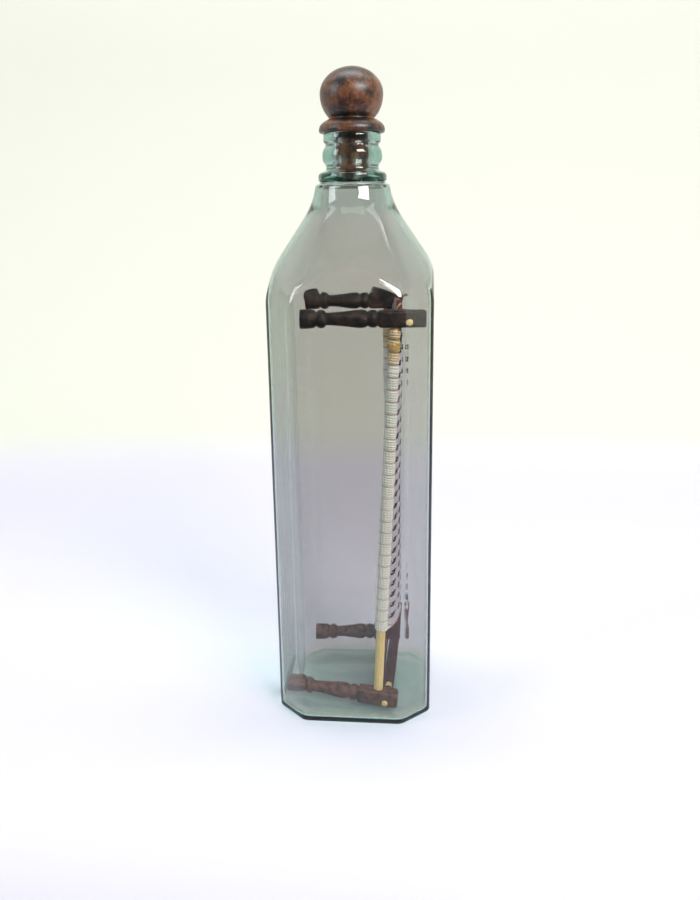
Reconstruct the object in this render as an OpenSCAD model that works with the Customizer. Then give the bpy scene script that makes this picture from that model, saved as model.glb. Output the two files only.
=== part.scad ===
// Miniature string cot standing on its foot end inside a square glass bottle.
// Millimetres, +Z up. The origin is the middle of the bottle's flat base.
// The bottle's faces look along X and Y. The cot's sleeping surface looks
// towards +X and its legs point towards -X; its head is up and "near" is -Y.

/* [Bottle] */
// Width of the square body across its flats
body_w = 78.4; // [70:0.2:96]
// Leg of the 45 degree cut along each upright corner
corner_cut = 14.1; // [11:0.1:17]
// Thickness of the glass in the walls
wall = 2.4; // [2:0.1:3]
// Thickness of the glass in the base
base_t = 3.6; // [3:0.1:5]
// Height of the glass from the base to the lip
bottle_h = 285.3; // [236:0.1:345]
// Size of the 45 degree bevel round the outside of the base
heel_cut = 3.0; // [2.5:0.1:4]
// Size of the 45 degree bevel round the inside of the base
inner_heel_cut = 5.0; // [4:0.1:6]
// Slope of the shoulder from the upright
shoulder_angle = 34.7; // [32:0.1:37]

/* [Neck] */
// Diameter of the bore through the neck
bore_d = 18.6; // [17.6:0.1:20]
// Outside diameter of the neck where it meets the shoulder
neck_d = 34.4; // [33:0.1:40]
// Outside diameters of the lip, and of the waists above and below the bead
lip_d = 26.7; // [26:0.1:30]
waist_d = 24.6; // [23.6:0.1:25.6]
// Outside diameters of the round bead and of the transfer ring below it
bead_d = 28.0; // [27:0.1:32]
ring_d = 32.0; // [30:0.1:32.6]
// Heights of the lip, the bead, the waist below the bead and the transfer ring
lip_h = 4.6; // [4:0.1:5.4]
bead_h = 9.6; // [8.4:0.1:10.4]
waist_h = 2.8; // [2.2:0.1:3.6]
ring_h = 5.4; // [4.6:0.1:6.4]

/* [Stopper] */
// Diameter of the ball
ball_d = 29.2; // [26:0.1:35]
// Height of the ball's upper half, for a radius of 1. Its lower half is round.
ball_flatness = 0.82; // [0.75:0.01:0.95]
// Diameter of the groove under the ball
groove_d = 20.4; // [17:0.1:22]
// Diameter and thickness of the flange that rests on the lip
flange_d = 30.6; // [29:0.1:36]
flange_h = 6.2; // [5:0.1:7]
// Length of the plug below the flange
plug_l = 22; // [18:0.1:26]
// Gap between the plug and the bore, all round
plug_gap = 1.7; // [0.3:0.1:2]

/* [Legs] */
// Diameter of the turned foot
foot_d = 8.9; // [8:0.1:10]
// Thinnest and thickest diameters of the vase shape
vase_thin_d = 5.9; // [5:0.1:6.6]
vase_thick_d = 8.5; // [7.6:0.1:9.4]
// Diameter of the two rings, and of the grooves beside them
leg_ring_d = 8.6; // [7.8:0.1:9.4]
leg_groove_d = 6.6; // [5.6:0.1:7]
// Width of the square head block, and the bevel of its edges
block_w = 7.8; // [7.2:0.1:8.4]
block_bevel = 0.9; // [0.5:0.1:1.2]
// Length of the foot, and of each ring with its grooves
foot_l = 7.6; // [6.4:0.1:9]
leg_ring_l = 4.6; // [4:0.1:5.4]
// Length of the head block on the two near legs and on the two far legs
near_block_l = 21.4; // [18:0.1:24]
far_block_l = 19.4; // [17:0.1:22]
// Room that a near leg and a far leg leave in the bottle's inside width
near_leg_room = 17; // [14:0.1:20]
far_leg_room = 22.1; // [18:0.1:26]

/* [Frame] */
// Diameters of the side rails, of the cross rails and of their tenons
side_rail_d = 4.7; // [4:0.1:5.4]
cross_rail_d = 3.8; // [3.4:0.1:4.4]
side_tenon_d = 2.8; // [2.4:0.1:3]
cross_tenon_d = 3.1; // [2.6:0.1:3.2]
// Gap between a tenon and its mortise, all round
tenon_gap = 0.05; // [0.03:0.01:0.1]
// Gap between a rail's shoulder and the leg, which the rail meets at a slant
shoulder_gap = 0.7; // [0.5:0.05:0.8]
// How far a side rail's tenon goes past the leg's axis
tenon_past_axis = 1.2; // [0.5:0.1:2]
// How far the cross rails lie below the axes of the legs they join
cross_rail_drop = 1.2; // [0.8:0.1:1.5]

/* [Cords] */
// Thickness of the cord wound on the side rails
wrap_t = 0.45; // [0.35:0.05:0.6]
// Length of each golden band, and how far it stands off the wrap
band_l = 3.0; // [2:0.1:4]
band_t = 0.35; // [0.25:0.05:0.5]
// Thickness of the woven deck
deck_t = 1.3; // [1:0.1:1.6]
// How far the loose deck bulges outwards at its head and at its lower edge
deck_bulge_head = 3.8; // [2:0.1:4.5]
deck_bulge_end = 2.6; // [1:0.1:3.5]
// Distance between two pattern cords
pattern_pitch = 5.9; // [4.8:0.1:7.2]
// Width and thickness of a pattern cord
pattern_w = 0.8; // [0.6:0.1:1.2]
pattern_t = 0.5; // [0.4:0.05:0.7]
// Height of the deck's lower edge above the inside of the bottle's base
open_end = 43; // [36:0.5:52]
// Width of the end cord that gathers the weave
end_cord_w = 2.0; // [1.6:0.1:2.4]
// Thickness of the cord wound on the foot rail and on the head rail
foot_winding_t = 0.8; // [0.6:0.1:1]
head_winding_t = 0.5; // [0.4:0.1:0.7]
// Thickness of the two bundles of tension cords
tension_t = 1.2; // [0.8:0.1:1.6]
// Thickness and width of the lashing on the far head leg
lashing_t = 0.7; // [0.5:0.1:1]
lashing_w = 2.4; // [2:0.1:3]
// Length and thickness of the corner knot on the foot rail
knot_l = 2.2; // [1.8:0.1:2.6]
knot_t = 1.2; // [0.9:0.1:1.5]
// Bare length of the foot rail between the knot and the winding
winding_after_knot = 4.0; // [1:0.1:6]

/* [Hidden] */
$fn = 64;
// Small gap between cords that lie on each other
fit = 0.06;
// Gap between the flange and the lip that it rests on
seat_gap = 0.04;
// Overshoot of a cutting shape
cut = 1;

inner_half = body_w / 2 - wall;
// The inside of a cut corner is the line |x| + |y| = inner_sum
inner_sum = body_w - corner_cut - wall * sqrt(2);
// The shoulder's cone, extended, meets the neck below the transfer ring
neck_top_z = bottle_h - lip_h - bead_h - waist_h - ring_h;
neck_straight = 6.5;
shoulder_slope = tan(shoulder_angle);
shoulder_z = neck_top_z - neck_straight - (body_w - neck_d) / 2 / shoulder_slope;
// Wall thickness measured level through the sloping shoulder
shoulder_wall = wall / cos(shoulder_angle);

plug_r = bore_d / 2 - plug_gap;
seat_z = bottle_h + seat_gap;
flange_top_z = seat_z + flange_h;
ball_r = ball_d / 2;
// The ball's equator, so that the ball meets the groove at the flange's top
ball_z = flange_top_z + ball_r * sqrt(1 - pow(groove_d / ball_d, 2));

near_leg_l = 2 * inner_half - near_leg_room;
far_leg_l = 2 * inner_half - far_leg_room;
half_block = block_w / 2;

// Each leg is [middle of its head end, yaw, pitch, length, length of its head
// block, distance from its head end to the side rail, and to the cross rail]
head_x = inner_half - 2.6;
leg_head_near_at = [[head_x, head_x + 0.4 + half_block - inner_sum, shoulder_z - 21.9],
    5.6, -0.5, near_leg_l, near_block_l, 12.8, 7.4];
leg_head_far_at = [[inner_half - 12.6, inner_half - 3.4 - half_block, shoulder_z - 18.8],
    5.5, -0.6, far_leg_l, far_block_l, 9.5, 5.2];
leg_foot_near_at = [[inner_half - 14.3, half_block + 6.3 - inner_half, base_t + half_block + 0.7],
    -7.6, -3.5, near_leg_l, near_block_l, 10.4, 6.4];
leg_foot_far_at = [[inner_half - 11.4, inner_half - 3.4 - half_block, base_t + half_block + 11],
    5.5, -0.3, far_leg_l, far_block_l, 6.4, 3.2];

// A leg's direction from foot to head, and a point on its axis at a distance
// back from the head end
function leg_dir(leg) = [cos(leg[2]) * cos(leg[1]), cos(leg[2]) * sin(leg[1]), sin(leg[2])];
function leg_point(leg, back) = leg[0] - back * leg_dir(leg);
function side_joint(leg) = leg_point(leg, leg[5]);
function cross_joint(leg) = leg_point(leg, leg[6]) - [0, 0, cross_rail_drop];

function unit(v) = v / norm(v);
function between(a, b, t) = a + (b - a) * t;
// The point on the line a to b at height z
function at_height(a, b, z) = between(a, b, (z - a[2]) / (b[2] - a[2]));

near_foot_joint = side_joint(leg_foot_near_at);
near_head_joint = side_joint(leg_head_near_at);
far_foot_joint = side_joint(leg_foot_far_at);
far_head_joint = side_joint(leg_head_far_at);
foot_rail_near_end = cross_joint(leg_foot_near_at);
foot_rail_far_end = cross_joint(leg_foot_far_at);
head_rail_near_end = cross_joint(leg_head_near_at);
head_rail_far_end = cross_joint(leg_head_far_at);

wrap_r = side_rail_d / 2 + fit + wrap_t;
deck_low_z = base_t + open_end;
near_wrap_top_z = near_head_joint[2] - half_block - shoulder_gap - 0.6;
far_wrap_top_z = far_head_joint[2] - half_block - shoulder_gap - 0.6;
// The deck ends below the winding on the head rail
deck_top_z = near_head_joint[2] - cross_rail_drop - cross_rail_d / 2 - head_winding_t - 1.4;

// Deck: a ruled sheet between the side rails, level along its width. Its
// middle surface at the height z, u from 0 at the near rail to 1 at the far
// rail, with the bulge added outwards.
deck_inset = wrap_r + 0.3;
deck_outset = wrap_r - 0.2 - deck_t / 2;
function deck_height(z) = (z - deck_low_z) / (deck_top_z - deck_low_z);
function deck_bulge(z) = between(deck_bulge_end, deck_bulge_head, deck_height(z));
function deck_near(z) = at_height(near_foot_joint, near_head_joint, z) + [deck_outset, deck_inset, 0];
function deck_far(z) = at_height(far_foot_joint, far_head_joint, z) + [deck_outset, -deck_inset, 0];
function deck_point(u, z) =
    between(deck_near(z), deck_far(z), u) + [deck_bulge(z) * 4 * u * (1 - u), 0, 0];

// Tension cords: a ruled sheet from the deck's lower edge to the foot rail
winding_r = cross_rail_d / 2 + fit + foot_winding_t;
tension_top_z = deck_low_z - end_cord_w - 0.3;
// Where the corner knot starts, from the foot rail's joint with the near leg
knot_start = half_block + shoulder_gap + 0.4;
function tension_low(u) =
    between(foot_rail_near_end, foot_rail_far_end, 0.12 + 0.8 * u) + [0, 0, winding_r + tension_t];
function tension_high(u) = deck_point(u, tension_top_z);
function tension_point(u, t) = between(tension_low(u), tension_high(u), t);

glass = [0.72, 0.84, 0.76, 0.35];
dark_wood = [0.13, 0.07, 0.05];
brown_wood = [0.30, 0.17, 0.10];
red_wood = [0.38, 0.16, 0.09];
pale_wood = [0.84, 0.68, 0.36];
cream_cord = [0.88, 0.84, 0.76];
lilac_cord = [0.74, 0.68, 0.72];
gold_cord = [0.70, 0.48, 0.20];
black_cord = [0.08, 0.05, 0.07];
maroon_cord = [0.22, 0.07, 0.09];

// A rod or a ring of the diameter d between two points
module along(a, b) {
    v = b - a;
    translate(a) rotate([0, acos(v[2] / norm(v)), atan2(v[1], v[0])]) children();
}
module rod(a, b, d) {
    along(a, b) cylinder(h = norm(b - a), d = d);
}
module ring_on(a, b, inner_d, outer_d) {
    along(a, b) difference() {
        cylinder(h = norm(b - a), d = outer_d);
        translate([0, 0, -cut]) cylinder(h = norm(b - a) + 2 * cut, d = inner_d);
    }
}

// A closed sheet, solid between two grids of points that have the same rows
module sheet(front, back) {
    rows = len(front);
    cols = len(front[0]);
    count = rows * cols;
    points = [for (grid = [front, back]) for (row = grid) for (p = row) p];
    skins = [for (i = [0:rows - 2]) for (j = [0:cols - 2])
        let (a = i * cols + j, b = a + 1, c = a + cols, d = c + 1)
        each [[a, b, d], [a, d, c], [count + a, count + d, count + b], [count + a, count + c, count + d]]];
    ends = [for (j = [0:cols - 2]) for (i = [0, rows - 1])
        let (a = i * cols + j, b = a + 1)
        each (i == 0 ? [[a, count + a, count + b], [a, count + b, b]]
            : [[a, count + b, count + a], [a, b, count + b]])];
    sides = [for (i = [0:rows - 2]) for (j = [0, cols - 1])
        let (a = i * cols + j, c = a + cols)
        each (j == 0 ? [[a, c, count + c], [a, count + c, count + a]]
            : [[a, count + c, c], [a, count + a, count + c]])];
    polyhedron(points = points, faces = concat(skins, ends, sides), convexity = 4);
}

// A stretch of the deck between two heights and two shares of its width, from
// the offset back_off to the offset front_off outwards of its middle surface
module deck_patch(u0, u1, z0, z1, back_off, front_off, rows, cols) {
    function grid(off) = [for (i = [0:rows]) [for (j = [0:cols])
        deck_point(between(u0, u1, j / cols), between(z0, z1, i / rows)) + [off, 0, 0]]];
    sheet(grid(front_off), grid(back_off));
}
module tension_patch(u0, u1, cols) {
    function grid(off) = [for (t = [0, 1]) [for (j = [0:cols])
        tension_point(between(u0, u1, j / cols), t) + [off, 0, 0]]];
    sheet(grid(tension_t / 2), grid(-tension_t / 2));
}

// Upright prism with cut corners and a bevel all round its lower end: four
// outlines, each extruded level and turned an eighth of a turn, crossed. The
// bevel is a little smaller on the cut corners.
corner_bevel_less = 0.6;
module bevelled_prism(half, half_diagonal, z0, z1, bevel) {
    module slab(h, b) {
        rotate([90, 0, 0]) translate([0, 0, -2 * half]) linear_extrude(4 * half)
            polygon([[b - h, z0], [h - b, z0], [h, z0 + b], [h, z1], [-h, z1], [-h, z0 + b]]);
    }
    intersection() {
        slab(half, bevel);
        rotate([0, 0, 90]) slab(half, bevel);
        rotate([0, 0, 45]) slab(half_diagonal, bevel - corner_bevel_less);
        rotate([0, 0, -45]) slab(half_diagonal, bevel - corner_bevel_less);
    }
}

// Outlines turned about the upright axis. The turn keeps the seam off the
// middles of the flat faces and of the cut corners.
module turned(points) {
    rotate([0, 0, 20]) rotate_extrude() polygon(points);
}
module bottle_outside() {
    lip_z = bottle_h - lip_h;
    bead_z = lip_z - bead_h / 2;
    ring_top_z = neck_top_z + ring_h;
    intersection() {
        bevelled_prism(body_w / 2, (body_w - corner_cut) / sqrt(2), 0, bottle_h + cut, heel_cut);
        // The shoulder's wide cone, which the flat faces cut into arches, and the neck
        turned([[0, -cut], [body_w, -cut],
            [body_w, shoulder_z - body_w / 2 / shoulder_slope],
            [neck_d / 2, neck_top_z - neck_straight], [neck_d / 2, neck_top_z - 1],
            [neck_d / 2 - 1, neck_top_z], [ring_d / 2 - 1, neck_top_z + 0.2],
            [ring_d / 2 - 1, neck_top_z + 0.6], [ring_d / 2, neck_top_z + 1.2],
            [ring_d / 2, ring_top_z - 1.2], [waist_d / 2 + 1, ring_top_z],
            [waist_d / 2, ring_top_z + 0.8], [waist_d / 2, bead_z - bead_h * 0.4],
            [bead_d / 2 - 0.6, bead_z - bead_h * 0.24], [bead_d / 2, bead_z - bead_h * 0.09],
            [bead_d / 2, bead_z + bead_h * 0.09], [bead_d / 2 - 0.6, bead_z + bead_h * 0.24],
            [waist_d / 2, bead_z + bead_h * 0.4], [waist_d / 2, lip_z],
            [lip_d / 2, lip_z + 0.9], [lip_d / 2, bottle_h - 0.9],
            [lip_d / 2 - 0.9, bottle_h], [0, bottle_h]]);
    }
}
module bottle_inside() {
    // Where the inside of the shoulder narrows to the bore
    bore_z = shoulder_z + (body_w / 2 - shoulder_wall - bore_d / 2) / shoulder_slope;
    intersection() {
        bevelled_prism(inner_half, inner_sum / sqrt(2), base_t, bottle_h + 2 * cut, inner_heel_cut);
        turned([[0, 0], [body_w, 0],
            [body_w, shoulder_z - (body_w / 2 + shoulder_wall) / shoulder_slope],
            [bore_d / 2, bore_z], [bore_d / 2, bottle_h + cut], [0, bottle_h + cut]]);
    }
}
module bottle() {
    color(glass) difference() {
        bottle_outside();
        bottle_inside();
    }
}

// Ball, groove, flange and plug, turned in one piece
module stopper() {
    steps = 20;
    low = -acos(groove_d / ball_d);
    ball = [for (i = [0:steps]) let (a = between(low, 90, i / steps))
        [ball_r * cos(a), ball_z + ball_r * sin(a) * (a > 0 ? ball_flatness : 1)]];
    color(red_wood) rotate_extrude() polygon(concat(
        [[0, bottle_h - plug_l], [plug_r - 0.8, bottle_h - plug_l], [plug_r, bottle_h - plug_l + 1],
            [plug_r, seat_z], [flange_d / 2 - 0.5, seat_z], [flange_d / 2, seat_z + 0.6],
            [flange_d / 2 - 0.1, seat_z + flange_h * 0.35], [flange_d / 2 - 1, seat_z + flange_h * 0.58],
            [flange_d / 2 - 2.6, seat_z + flange_h * 0.82], [groove_d / 2, flange_top_z - 0.1]],
        [for (p = ball) [max(p[0], 0), p[1]]]));
}

// A turned leg along its own X axis, from its foot end at 0 to its head end
module leg_blank(length, block_l) {
    block_x = length - block_l;
    ring_x = block_x - leg_ring_l;
    vase_x = foot_l + leg_ring_l;
    vase_l = ring_x - vase_x;
    groove = 0.7;
    r = leg_ring_d / 2;
    g = leg_groove_d / 2;
    rotate([90, 0, 90]) rotate_extrude() polygon([[0, 0], [foot_d / 2 - 0.5, 0], [foot_d / 2, 0.6],
        [foot_d / 2, foot_l - 2.2], [foot_d / 2 - 0.4, foot_l - groove], [g, foot_l],
        [r - 0.3, foot_l + groove], [r, foot_l + leg_ring_l * 0.45], [r - 0.4, vase_x - groove],
        [vase_thin_d / 2, vase_x], [vase_thin_d / 2 + 0.2, vase_x + vase_l * 0.2],
        [between(vase_thin_d, vase_thick_d, 0.55) / 2, vase_x + vase_l * 0.5],
        [vase_thick_d / 2, vase_x + vase_l * 0.8], [vase_thick_d / 2 - 0.2, ring_x - groove],
        [g, ring_x], [r - 0.2, ring_x + groove], [r, ring_x + leg_ring_l * 0.5],
        [r - 0.3, block_x - groove], [g, block_x], [g, block_x + cut], [0, block_x + cut]]);
    head_block(block_x, length);
}
module head_block(x0, x1) {
    h = half_block;
    b = block_bevel;
    intersection() {
        translate([x0, 0, 0]) rotate([90, 0, 90]) linear_extrude(x1 - x0)
            polygon([[b - h, -h], [h - b, -h], [h, b - h], [h, h - b],
                [h - b, h], [b - h, h], [-h, h - b], [-h, b - h]]);
        // Bevels at the block's ends
        rotate([90, 0, 0]) translate([0, 0, -block_w]) linear_extrude(2 * block_w)
            polygon([[x0, b - h], [x0 + b, -h], [x1 - b, -h], [x1, b - h],
                [x1, h - b], [x1 - b, h], [x0 + b, h], [x0, h - b]]);
        translate([0, 0, -block_w]) linear_extrude(2 * block_w)
            polygon([[x0, b - h], [x0 + b, -h], [x1 - b, -h], [x1, b - h],
                [x1, h - b], [x1 - b, h], [x0 + b, h], [x0, h - b]]);
    }
}
// A leg in its place, with the mortises for the rails from other_side (the
// leg at the side rail's other end) and other_cross (at the cross rail's)
module leg(spec, other_side, other_cross, through) {
    side = side_joint(spec);
    side_out = unit(side_joint(other_side) - side);
    cross = cross_joint(spec);
    cross_out = unit(cross_joint(other_cross) - cross);
    difference() {
        translate(spec[0]) rotate([0, 0, spec[1]]) rotate([0, -spec[2], 0])
            translate([-spec[3], 0, 0]) leg_blank(spec[3], spec[4]);
        rod(side - (tenon_past_axis + tenon_gap) * side_out, side + block_w * side_out,
            side_tenon_d + 2 * tenon_gap);
        rod(cross - (through ? block_w : 1) * cross_out, cross + block_w * cross_out,
            cross_tenon_d + 2 * tenon_gap);
    }
}
module leg_head_near() {
    color(dark_wood) leg(leg_head_near_at, leg_foot_near_at, leg_head_far_at, true);
}
module leg_head_far() {
    color(dark_wood) leg(leg_head_far_at, leg_foot_far_at, leg_head_near_at, false);
}
module leg_foot_near() {
    color(brown_wood) leg(leg_foot_near_at, leg_head_near_at, leg_foot_far_at, true);
}
module leg_foot_far() {
    color(brown_wood) leg(leg_foot_far_at, leg_head_far_at, leg_foot_near_at, false);
}

// A rail from leg to leg: a rod with a tenon at each end. The reaches say how
// far the tenons go past the joints.
module rail(a, b, d, tenon_d, reach_a, reach_b) {
    out = unit(b - a);
    shoulder = half_block + shoulder_gap;
    rod(a + shoulder * out, b - shoulder * out, d);
    rod(a - reach_a * out, b + reach_b * out, tenon_d);
}
module side_rail_near() {
    color(pale_wood) rail(near_foot_joint, near_head_joint, side_rail_d, side_tenon_d,
        tenon_past_axis, tenon_past_axis);
}
module side_rail_far() {
    color(pale_wood) rail(far_foot_joint, far_head_joint, side_rail_d, side_tenon_d,
        tenon_past_axis, tenon_past_axis);
}
module head_rail() {
    color(pale_wood) rail(head_rail_near_end, head_rail_far_end, cross_rail_d, cross_tenon_d,
        half_block + 0.1, 0.9);
}
module foot_rail() {
    color(pale_wood) rail(foot_rail_near_end, foot_rail_far_end, cross_rail_d, cross_tenon_d,
        half_block + 0.1, 0.9);
}

module wrap(foot, head, top_z) {
    color(cream_cord) ring_on(at_height(foot, head, deck_low_z), at_height(foot, head, top_z),
        side_rail_d + 2 * fit, 2 * wrap_r);
}
module rail_wrap_near() { wrap(near_foot_joint, near_head_joint, near_wrap_top_z); }
module rail_wrap_far() { wrap(far_foot_joint, far_head_joint, far_wrap_top_z); }

// A band of golden cord over the wrap, ending below the wrap's top by the gap
module band(foot, head, top_z, gap) {
    color(gold_cord) ring_on(at_height(foot, head, top_z - gap - band_l), at_height(foot, head, top_z - gap),
        2 * (wrap_r + fit), 2 * (wrap_r + fit + band_t));
}
module rail_band_near() { band(near_foot_joint, near_head_joint, near_wrap_top_z, 6); }
module rail_band_far() { band(far_foot_joint, far_head_joint, far_wrap_top_z, 1.5); }

// The weave's cords turn round the head rail along all its length
module head_rail_winding() {
    out = unit(head_rail_far_end - head_rail_near_end);
    margin = half_block + shoulder_gap + 0.8;
    color(lilac_cord) ring_on(head_rail_near_end + margin * out, head_rail_far_end - margin * out,
        cross_rail_d + 2 * fit, cross_rail_d + 2 * fit + 2 * head_winding_t);
}
module deck_weave() {
    color(lilac_cord) deck_patch(0, 1, deck_low_z, deck_top_z, -deck_t / 2, deck_t / 2, 12, 12);
}
// Level rows of the pattern cord, on the deck's outer side
module pattern_cords() {
    rows = floor((deck_top_z - deck_low_z - pattern_w) / pattern_pitch);
    color(black_cord) for (i = [1:rows]) {
        z = deck_low_z + i * pattern_pitch;
        deck_patch(0.03, 0.97, z - pattern_w / 2, z + pattern_w / 2,
            deck_t / 2 + fit, deck_t / 2 + fit + pattern_t, 1, 8);
    }
}
module weave_end_cord() {
    color(cream_cord) deck_patch(0, 1, deck_low_z - end_cord_w, deck_low_z - fit,
        -end_cord_w / 2, end_cord_w / 2, 1, 12);
}
module tension_cords_near() { color(maroon_cord) tension_patch(0.03, 0.46, 6); }
module tension_cords_far() { color(maroon_cord) tension_patch(0.54, 0.97, 6); }

// Maroon cord wound round the foot rail from past the knot to the far leg, in
// two lengths with a parting between them
module foot_rail_winding() {
    v = foot_rail_far_end - foot_rail_near_end;
    start = knot_start + knot_l + winding_after_knot;
    end = norm(v) - half_block - shoulder_gap - 1;
    middle = (start + end) / 2;
    for (part = [[start, middle - 0.6], [middle + 0.6, end]])
        color(maroon_cord) ring_on(foot_rail_near_end + part[0] * unit(v), foot_rail_near_end + part[1] * unit(v),
            cross_rail_d + 2 * fit, 2 * winding_r);
}
module corner_knot() {
    out = unit(foot_rail_far_end - foot_rail_near_end);
    start = foot_rail_near_end + knot_start * out;
    color(maroon_cord) ring_on(start, start + knot_l * out,
        cross_rail_d + 2 * fit, cross_rail_d + 2 * fit + 2 * knot_t);
}
// Square turn of maroon cord round the far head leg's block, at its end
module leg_lashing() {
    spec = leg_head_far_at;
    inner = block_w + 2 * fit;
    outer = inner + 2 * lashing_t;
    color(maroon_cord) translate(spec[0]) rotate([0, 0, spec[1]]) rotate([0, -spec[2], 0])
        translate([-lashing_w - 0.5, 0, 0]) difference() {
            translate([0, -outer / 2, -outer / 2]) cube([lashing_w, outer, outer]);
            translate([-cut, -inner / 2, -inner / 2]) cube([lashing_w + 2 * cut, inner, inner]);
        }
}

bottle();
stopper();
leg_head_near();
leg_head_far();
leg_foot_near();
leg_foot_far();
side_rail_near();
side_rail_far();
head_rail();
foot_rail();
rail_wrap_near();
rail_wrap_far();
rail_band_near();
rail_band_far();
head_rail_winding();
deck_weave();
pattern_cords();
weave_end_cord();
tension_cords_near();
tension_cords_far();
foot_rail_winding();
corner_knot();
leg_lashing();
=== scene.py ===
# A miniature string cot (a charpai) that stands on its foot end inside a square
# glass bottle with a turned wooden stopper. Lengths are in metres unless a name
# ends in _mm. The bottle's flat faces look along X and Y, its neck along +Z.
import math
import random

import bpy
from mathutils import Matrix, Vector, noise
from mathutils.bvhtree import BVHTree


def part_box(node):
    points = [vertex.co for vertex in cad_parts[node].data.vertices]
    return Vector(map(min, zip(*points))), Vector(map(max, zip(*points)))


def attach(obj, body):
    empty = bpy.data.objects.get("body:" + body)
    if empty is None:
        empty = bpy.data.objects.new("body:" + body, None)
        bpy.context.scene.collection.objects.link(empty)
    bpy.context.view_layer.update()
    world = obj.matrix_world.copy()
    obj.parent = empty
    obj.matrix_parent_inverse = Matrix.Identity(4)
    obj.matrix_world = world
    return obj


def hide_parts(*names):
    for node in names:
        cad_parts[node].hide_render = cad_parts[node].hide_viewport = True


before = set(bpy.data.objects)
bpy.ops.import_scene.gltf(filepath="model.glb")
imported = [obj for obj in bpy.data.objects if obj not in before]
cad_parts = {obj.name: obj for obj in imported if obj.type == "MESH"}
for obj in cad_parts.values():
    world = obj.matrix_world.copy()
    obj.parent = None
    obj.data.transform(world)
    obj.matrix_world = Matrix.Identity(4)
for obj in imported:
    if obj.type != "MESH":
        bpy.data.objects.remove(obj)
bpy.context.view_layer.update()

MM = 0.001


# ---------------------------------------------------------------------------
# The camera stands a little above the bottle's lip and looks down at the
# middle of the body, slightly from the right.
eye = Vector((0.0392, -0.4216, 0.2501))
turn_left, tilt_down, roll_right = math.radians(5.72), math.radians(15.41), math.radians(0.83)
camera = bpy.data.objects.new("camera", bpy.data.cameras.new("camera"))
camera.data.lens = 34.51
camera.data.clip_start = 0.01
camera.matrix_world = (Matrix.Translation(eye) @ Matrix.Rotation(turn_left, 4, "Z")
    @ Matrix.Rotation(math.pi / 2 - tilt_down, 4, "X") @ Matrix.Rotation(-roll_right, 4, "Z"))
bpy.context.scene.collection.objects.link(camera)
bpy.context.scene.camera = camera


# ---------------------------------------------------------------------------
# The studio: a pale sweep of card that is the floor and curves up all round, darker
# in front so that the glass mirrors little of it, and soft lamps. Nothing here is
# part of the object.
def add_mesh(name, points, faces, smooth=True):
    """A new object from points and faces, in the frame's own metres."""
    mesh = bpy.data.meshes.new(name)
    mesh.from_pydata([tuple(p) for p in points], [], faces)
    mesh.polygons.foreach_set("use_smooth", [smooth] * len(mesh.polygons))
    mesh.update()
    made = bpy.data.objects.new(name, mesh)
    bpy.context.scene.collection.objects.link(made)
    return made


class Socket:
    """One output of a shader node. Sums and products on it add Math nodes."""

    def __init__(self, finish, out):
        self.finish, self.out = finish, out

    def math(self, operation, first, second=0.0):
        return self.finish.node("ShaderNodeMath", {"operation": operation}, {0: first, 1: second})

    def __add__(self, other):
        return self.math("ADD", self, other)

    def __sub__(self, other):
        return self.math("SUBTRACT", self, other)

    def __rsub__(self, other):
        return self.math("SUBTRACT", other, self)

    def __mul__(self, other):
        return self.math("MULTIPLY", self, other)

    __radd__, __rmul__ = __add__, __mul__

    def above(self, low, high):
        """0 below low, 1 above high, and smooth between."""
        return self.finish.node("ShaderNodeMapRange", {"interpolation_type": "SMOOTHSTEP"},
            {"Value": self, "From Min": low, "From Max": high})

    def wave(self):
        """From 0 to 1 and back for each whole step of the value."""
        return self.math("SINE", self * (2 * math.pi)) * 0.5 + 0.5


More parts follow.
